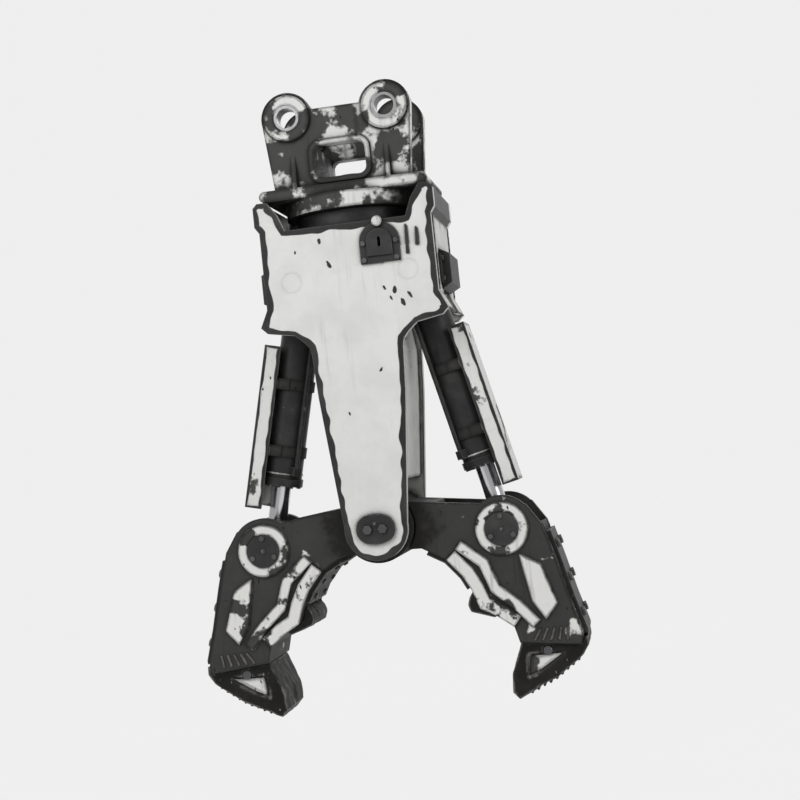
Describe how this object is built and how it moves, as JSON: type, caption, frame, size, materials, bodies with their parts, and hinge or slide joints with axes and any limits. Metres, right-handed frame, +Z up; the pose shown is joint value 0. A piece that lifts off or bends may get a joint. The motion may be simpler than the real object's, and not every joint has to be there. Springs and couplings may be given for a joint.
{
  "type": "demolition grapple",
  "caption": "Hydraulic demolition grapple with toothed crusher jaws on a shared pivot, outer cylinders, and a slewing head with pin-on ears.",
  "frame": {"origin": "centre of the stick pin bore, midway between the ears", "axes": "+Y along the stick pin, +Z up along the turning axis of the hanging tool, +X from the link pin towards the stick pin"},
  "size_m": [1.7528, 0.6712, 2.82],
  "materials": {
    "housing_paint": "semi-gloss off-white paint, chipped and dusty",
    "jaw_paint": "worn off-white paint with bare steel edges",
    "cylinder_paint": "semi-gloss paint with scuffs",
    "guard_steel": "dark scale and grime",
    "tooth_steel": "dark wear steel, polished edges",
    "slew_steel": "greasy dark steel",
    "pin_steel": "turned steel",
    "cap_steel": "black painted steel",
    "rod_chrome": "hard chrome",
    "bolt_steel": "blackened bolts",
    "bush_bronze": "bronze",
    "motor_paint": "dark grey paint"
  },
  "bodies": {
    "head": {"head_base": "housing_paint", "head_ears": "housing_paint", "ear_bushes": "pin_steel", "inner_slew_ring": "slew_steel", "upper_slew_bolts": "bolt_steel", "manifold_core": "pin_steel", "manifold_fittings": "bolt_steel"},
    "turning_frame": {"front_cheek": "housing_paint", "rear_cheek": "housing_paint", "frame_core": "housing_paint", "slew_guard_bars": "guard_steel", "left_end_cover": "guard_steel", "right_end_cover": "guard_steel", "frame_bolts": "bolt_steel", "outer_slew_ring": "slew_steel", "lower_slew_bolts": "bolt_steel", "slew_balls": "pin_steel", "manifold_sleeve": "motor_paint", "rotation_motor": "motor_paint", "hatch_cover": "cap_steel", "main_pin": "pin_steel", "pin_caps": "cap_steel", "thrust_washers": "bush_bronze", "left_head_pin": "pin_steel", "right_head_pin": "pin_steel"},
    "pinion": {"drive_pinion": "pin_steel"},
    "right_jaw": {"right_jaw_frame": "jaw_paint", "right_hub_bush": "bush_bronze", "right_throat_liner": "tooth_steel", "right_middle_tooth": "tooth_steel", "right_tip_tooth": "tooth_steel", "right_wear_strap": "guard_steel", "right_jaw_bolts": "bolt_steel", "right_rod_pin": "pin_steel", "right_pin_keepers": "cap_steel"},
    "right_cylinder_rod": {"right_rod": "rod_chrome", "right_piston": "pin_steel", "right_rod_bush": "bush_bronze"},
    "right_cylinder_barrel": {"right_barrel": "cylinder_paint", "right_gland": "guard_steel", "right_gland_bolts": "bolt_steel", "right_guard": "guard_steel", "right_oil_pipe": "cylinder_paint"},
    "left_jaw": {"left_jaw_frame": "jaw_paint", "left_hub_bushes": "bush_bronze", "left_throat_liner": "tooth_steel", "left_middle_tooth": "tooth_steel", "left_tip_tooth": "tooth_steel", "left_wear_strap": "guard_steel", "left_jaw_bolts": "bolt_steel", "left_rod_pin": "pin_steel", "left_pin_keepers": "cap_steel"},
    "left_cylinder_rod": {"left_rod": "rod_chrome", "left_piston": "pin_steel", "left_rod_bush": "bush_bronze"},
    "left_cylinder_barrel": {"left_barrel": "cylinder_paint", "left_gland": "guard_steel", "left_gland_bolts": "bolt_steel", "left_guard": "guard_steel", "left_oil_pipe": "cylinder_paint"}
  },
  "joints": [
    {"name": "rotator_turn", "type": "hinge", "parent": "head", "child": "turning_frame", "pos_m": [-0.225, 0, -0.45], "axis": [0, 0, 1], "continuous": true},
    {"name": "pinion_spin", "type": "hinge", "parent": "turning_frame", "child": "pinion", "pos_m": [-0.14015, -0.08485, -0.5], "axis": [0, 0, 1], "continuous": true},
    {"name": "right_jaw_swing", "type": "hinge", "parent": "turning_frame", "child": "right_jaw", "pos_m": [-0.225, 0, -1.88], "axis": [0, 1, 0], "range_deg": [0, 32]},
    {"name": "left_jaw_swing", "type": "hinge", "parent": "turning_frame", "child": "left_jaw", "pos_m": [-0.225, 0, -1.88], "axis": [0, 1, 0], "range_deg": [-32, 0]},
    {"name": "right_rod_swing", "type": "hinge", "parent": "right_jaw", "child": "right_cylinder_rod", "pos_m": [0.32, 0, -1.937], "axis": [0, 1, 0], "range_deg": [-26, 0]},
    {"name": "left_rod_swing", "type": "hinge", "parent": "left_jaw", "child": "left_cylinder_rod", "pos_m": [-0.77, 0, -1.937], "axis": [0, 1, 0], "range_deg": [0, 26]},
    {"name": "right_cylinder_stroke", "type": "slide", "parent": "right_cylinder_rod", "child": "right_cylinder_barrel", "axis": [-0.2296, 0, 0.9733], "range_m": [0, 0.27]},
    {"name": "left_cylinder_stroke", "type": "slide", "parent": "left_cylinder_rod", "child": "left_cylinder_barrel", "axis": [0.2296, 0, 0.9733], "range_m": [0, 0.27]}
  ],
  "couplings": [
    {"joint": "pinion_spin", "follows": "rotator_turn", "ratio": -5},
    {"joint": "left_jaw_swing", "follows": "right_jaw_swing", "ratio": -1},
    {"joint": "right_rod_swing", "follows": "right_jaw_swing", "ratio": -0.797},
    {"joint": "left_rod_swing", "follows": "right_jaw_swing", "ratio": 0.797},
    {"joint": "right_cylinder_stroke", "follows": "right_jaw_swing", "m_per_rad": 0.471},
    {"joint": "left_cylinder_stroke", "follows": "right_jaw_swing", "m_per_rad": 0.471}
  ]
}
